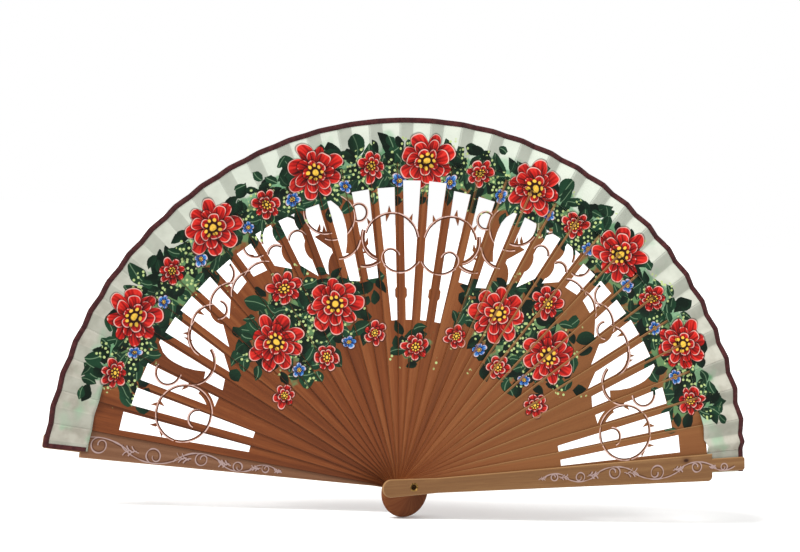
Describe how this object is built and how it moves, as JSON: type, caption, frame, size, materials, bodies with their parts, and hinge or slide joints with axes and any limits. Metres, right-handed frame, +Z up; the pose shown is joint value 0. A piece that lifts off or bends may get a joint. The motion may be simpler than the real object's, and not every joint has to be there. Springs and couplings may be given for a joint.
{
  "type": "folding hand fan",
  "caption": "Folding hand fan: pierced wooden sticks between two guards turn on one rivet, and a pleated cloth leaf with a bound edge joins them into a half disc.",
  "frame": {"origin": "middle of the rivet, half way through the stack of sticks", "axes": "+X to the right along the open fan's width, +Y from front to back along the rivet, +Z up"},
  "size_m": [0.421, 0.0325, 0.23],
  "materials": {
    "stick_wood": "satin varnish",
    "guard_wood": "satin varnish",
    "brass": "worn",
    "cloth": "matt",
    "binding": "matt"
  },
  "bodies": {
    "base": {"rear_guard": "guard_wood", "rivet_pin": "brass", "rivet_front_washer": "brass", "rivet_rear_washer": "brass", "leaf": "cloth", "edge_binding": "binding"},
    "front_guard": {"front_guard": "guard_wood"},
    "stick_01": {"stick_01": "stick_wood"},
    "stick_02": {"stick_02": "stick_wood"},
    "stick_03": {"stick_03": "stick_wood"},
    "stick_04": {"stick_04": "stick_wood"},
    "stick_05": {"stick_05": "stick_wood"},
    "stick_06": {"stick_06": "stick_wood"},
    "stick_07": {"stick_07": "stick_wood"},
    "stick_08": {"stick_08": "stick_wood"},
    "stick_09": {"stick_09": "stick_wood"},
    "stick_10": {"stick_10": "stick_wood"},
    "stick_11": {"stick_11": "stick_wood"},
    "stick_12": {"stick_12": "stick_wood"},
    "stick_13": {"stick_13": "stick_wood"},
    "stick_14": {"stick_14": "stick_wood"},
    "stick_15": {"stick_15": "stick_wood"},
    "stick_16": {"stick_16": "stick_wood"},
    "stick_17": {"stick_17": "stick_wood"},
    "stick_18": {"stick_18": "stick_wood"},
    "stick_19": {"stick_19": "stick_wood"},
    "stick_20": {"stick_20": "stick_wood"},
    "stick_21": {"stick_21": "stick_wood"},
    "stick_22": {"stick_22": "stick_wood"},
    "stick_23": {"stick_23": "stick_wood"},
    "stick_24": {"stick_24": "stick_wood"},
    "stick_25": {"stick_25": "stick_wood"},
    "stick_26": {"stick_26": "stick_wood"},
    "stick_27": {"stick_27": "stick_wood"},
    "stick_28": {"stick_28": "stick_wood"},
    "stick_29": {"stick_29": "stick_wood"},
    "stick_30": {"stick_30": "stick_wood"},
    "stick_31": {"stick_31": "stick_wood"},
    "stick_32": {"stick_32": "stick_wood"}
  },
  "joints": [
    {"name": "fan_fold", "type": "hinge", "parent": "base", "child": "front_guard", "pos_m": [0, 0, 0], "axis": [0, -1, 0], "range_deg": [0, 170], "deforming": ["leaf", "edge_binding"]},
    {"name": "stick_01_fold", "type": "hinge", "parent": "base", "child": "stick_01", "pos_m": [0, 0, 0], "axis": [0, -1, 0], "range_deg": [0, 5.15]},
    {"name": "stick_02_fold", "type": "hinge", "parent": "base", "child": "stick_02", "pos_m": [0, 0, 0], "axis": [0, -1, 0], "range_deg": [0, 10.3]},
    {"name": "stick_03_fold", "type": "hinge", "parent": "base", "child": "stick_03", "pos_m": [0, 0, 0], "axis": [0, -1, 0], "range_deg": [0, 15.46]},
    {"name": "stick_04_fold", "type": "hinge", "parent": "base", "child": "stick_04", "pos_m": [0, 0, 0], "axis": [0, -1, 0], "range_deg": [0, 20.61]},
    {"name": "stick_05_fold", "type": "hinge", "parent": "base", "child": "stick_05", "pos_m": [0, 0, 0], "axis": [0, -1, 0], "range_deg": [0, 25.76]},
    {"name": "stick_06_fold", "type": "hinge", "parent": "base", "child": "stick_06", "pos_m": [0, 0, 0], "axis": [0, -1, 0], "range_deg": [0, 30.91]},
    {"name": "stick_07_fold", "type": "hinge", "parent": "base", "child": "stick_07", "pos_m": [0, 0, 0], "axis": [0, -1, 0], "range_deg": [0, 36.06]},
    {"name": "stick_08_fold", "type": "hinge", "parent": "base", "child": "stick_08", "pos_m": [0, 0, 0], "axis": [0, -1, 0], "range_deg": [0, 41.21]},
    {"name": "stick_09_fold", "type": "hinge", "parent": "base", "child": "stick_09", "pos_m": [0, 0, 0], "axis": [0, -1, 0], "range_deg": [0, 46.36]},
    {"name": "stick_10_fold", "type": "hinge", "parent": "base", "child": "stick_10", "pos_m": [0, 0, 0], "axis": [0, -1, 0], "range_deg": [0, 51.52]},
    {"name": "stick_11_fold", "type": "hinge", "parent": "base", "child": "stick_11", "pos_m": [0, 0, 0], "axis": [0, -1, 0], "range_deg": [0, 56.67]},
    {"name": "stick_12_fold", "type": "hinge", "parent": "base", "child": "stick_12", "pos_m": [0, 0, 0], "axis": [0, -1, 0], "range_deg": [0, 61.82]},
    {"name": "stick_13_fold", "type": "hinge", "parent": "base", "child": "stick_13", "pos_m": [0, 0, 0], "axis": [0, -1, 0], "range_deg": [0, 66.97]},
    {"name": "stick_14_fold", "type": "hinge", "parent": "base", "child": "stick_14", "pos_m": [0, 0, 0], "axis": [0, -1, 0], "range_deg": [0, 72.12]},
    {"name": "stick_15_fold", "type": "hinge", "parent": "base", "child": "stick_15", "pos_m": [0, 0, 0], "axis": [0, -1, 0], "range_deg": [0, 77.27]},
    {"name": "stick_16_fold", "type": "hinge", "parent": "base", "child": "stick_16", "pos_m": [0, 0, 0], "axis": [0, -1, 0], "range_deg": [0, 82.42]},
    {"name": "stick_17_fold", "type": "hinge", "parent": "base", "child": "stick_17", "pos_m": [0, 0, 0], "axis": [0, -1, 0], "range_deg": [0, 87.58]},
    {"name": "stick_18_fold", "type": "hinge", "parent": "base", "child": "stick_18", "pos_m": [0, 0, 0], "axis": [0, -1, 0], "range_deg": [0, 92.73]},
    {"name": "stick_19_fold", "type": "hinge", "parent": "base", "child": "stick_19", "pos_m": [0, 0, 0], "axis": [0, -1, 0], "range_deg": [0, 97.88]},
    {"name": "stick_20_fold", "type": "hinge", "parent": "base", "child": "stick_20", "pos_m": [0, 0, 0], "axis": [0, -1, 0], "range_deg": [0, 103.03]},
    {"name": "stick_21_fold", "type": "hinge", "parent": "base", "child": "stick_21", "pos_m": [0, 0, 0], "axis": [0, -1, 0], "range_deg": [0, 108.18]},
    {"name": "stick_22_fold", "type": "hinge", "parent": "base", "child": "stick_22", "pos_m": [0, 0, 0], "axis": [0, -1, 0], "range_deg": [0, 113.33]},
    {"name": "stick_23_fold", "type": "hinge", "parent": "base", "child": "stick_23", "pos_m": [0, 0, 0], "axis": [0, -1, 0], "range_deg": [0, 118.49]},
    {"name": "stick_24_fold", "type": "hinge", "parent": "base", "child": "stick_24", "pos_m": [0, 0, 0], "axis": [0, -1, 0], "range_deg": [0, 123.64]},
    {"name": "stick_25_fold", "type": "hinge", "parent": "base", "child": "stick_25", "pos_m": [0, 0, 0], "axis": [0, -1, 0], "range_deg": [0, 128.79]},
    {"name": "stick_26_fold", "type": "hinge", "parent": "base", "child": "stick_26", "pos_m": [0, 0, 0], "axis": [0, -1, 0], "range_deg": [0, 133.94]},
    {"name": "stick_27_fold", "type": "hinge", "parent": "base", "child": "stick_27", "pos_m": [0, 0, 0], "axis": [0, -1, 0], "range_deg": [0, 139.09]},
    {"name": "stick_28_fold", "type": "hinge", "parent": "base", "child": "stick_28", "pos_m": [0, 0, 0], "axis": [0, -1, 0], "range_deg": [0, 144.24]},
    {"name": "stick_29_fold", "type": "hinge", "parent": "base", "child": "stick_29", "pos_m": [0, 0, 0], "axis": [0, -1, 0], "range_deg": [0, 149.39]},
    {"name": "stick_30_fold", "type": "hinge", "parent": "base", "child": "stick_30", "pos_m": [0, 0, 0], "axis": [0, -1, 0], "range_deg": [0, 154.55]},
    {"name": "stick_31_fold", "type": "hinge", "parent": "base", "child": "stick_31", "pos_m": [0, 0, 0], "axis": [0, -1, 0], "range_deg": [0, 159.7]},
    {"name": "stick_32_fold", "type": "hinge", "parent": "base", "child": "stick_32", "pos_m": [0, 0, 0], "axis": [0, -1, 0], "range_deg": [0, 164.85]}
  ],
  "couplings": [
    {"joint": "stick_01_fold", "follows": "fan_fold", "ratio": 0.030303},
    {"joint": "stick_02_fold", "follows": "fan_fold", "ratio": 0.060606},
    {"joint": "stick_03_fold", "follows": "fan_fold", "ratio": 0.090909},
    {"joint": "stick_04_fold", "follows": "fan_fold", "ratio": 0.12121},
    {"joint": "stick_05_fold", "follows": "fan_fold", "ratio": 0.15152},
    {"joint": "stick_06_fold", "follows": "fan_fold", "ratio": 0.18182},
    {"joint": "stick_07_fold", "follows": "fan_fold", "ratio": 0.21212},
    {"joint": "stick_08_fold", "follows": "fan_fold", "ratio": 0.24242},
    {"joint": "stick_09_fold", "follows": "fan_fold", "ratio": 0.27273},
    {"joint": "stick_10_fold", "follows": "fan_fold", "ratio": 0.30303},
    {"joint": "stick_11_fold", "follows": "fan_fold", "ratio": 0.33333},
    {"joint": "stick_12_fold", "follows": "fan_fold", "ratio": 0.36364},
    {"joint": "stick_13_fold", "follows": "fan_fold", "ratio": 0.39394},
    {"joint": "stick_14_fold", "follows": "fan_fold", "ratio": 0.42424},
    {"joint": "stick_15_fold", "follows": "fan_fold", "ratio": 0.45455},
    {"joint": "stick_16_fold", "follows": "fan_fold", "ratio": 0.48485},
    {"joint": "stick_17_fold", "follows": "fan_fold", "ratio": 0.51515},
    {"joint": "stick_18_fold", "follows": "fan_fold", "ratio": 0.54545},
    {"joint": "stick_19_fold", "follows": "fan_fold", "ratio": 0.57576},
    {"joint": "stick_20_fold", "follows": "fan_fold", "ratio": 0.60606},
    {"joint": "stick_21_fold", "follows": "fan_fold", "ratio": 0.63636},
    {"joint": "stick_22_fold", "follows": "fan_fold", "ratio": 0.66667},
    {"joint": "stick_23_fold", "follows": "fan_fold", "ratio": 0.69697},
    {"joint": "stick_24_fold", "follows": "fan_fold", "ratio": 0.72727},
    {"joint": "stick_25_fold", "follows": "fan_fold", "ratio": 0.75758},
    {"joint": "stick_26_fold", "follows": "fan_fold", "ratio": 0.78788},
    {"joint": "stick_27_fold", "follows": "fan_fold", "ratio": 0.81818},
    {"joint": "stick_28_fold", "follows": "fan_fold", "ratio": 0.84848},
    {"joint": "stick_29_fold", "follows": "fan_fold", "ratio": 0.87879},
    {"joint": "stick_30_fold", "follows": "fan_fold", "ratio": 0.90909},
    {"joint": "stick_31_fold", "follows": "fan_fold", "ratio": 0.93939},
    {"joint": "stick_32_fold", "follows": "fan_fold", "ratio": 0.9697}
  ]
}
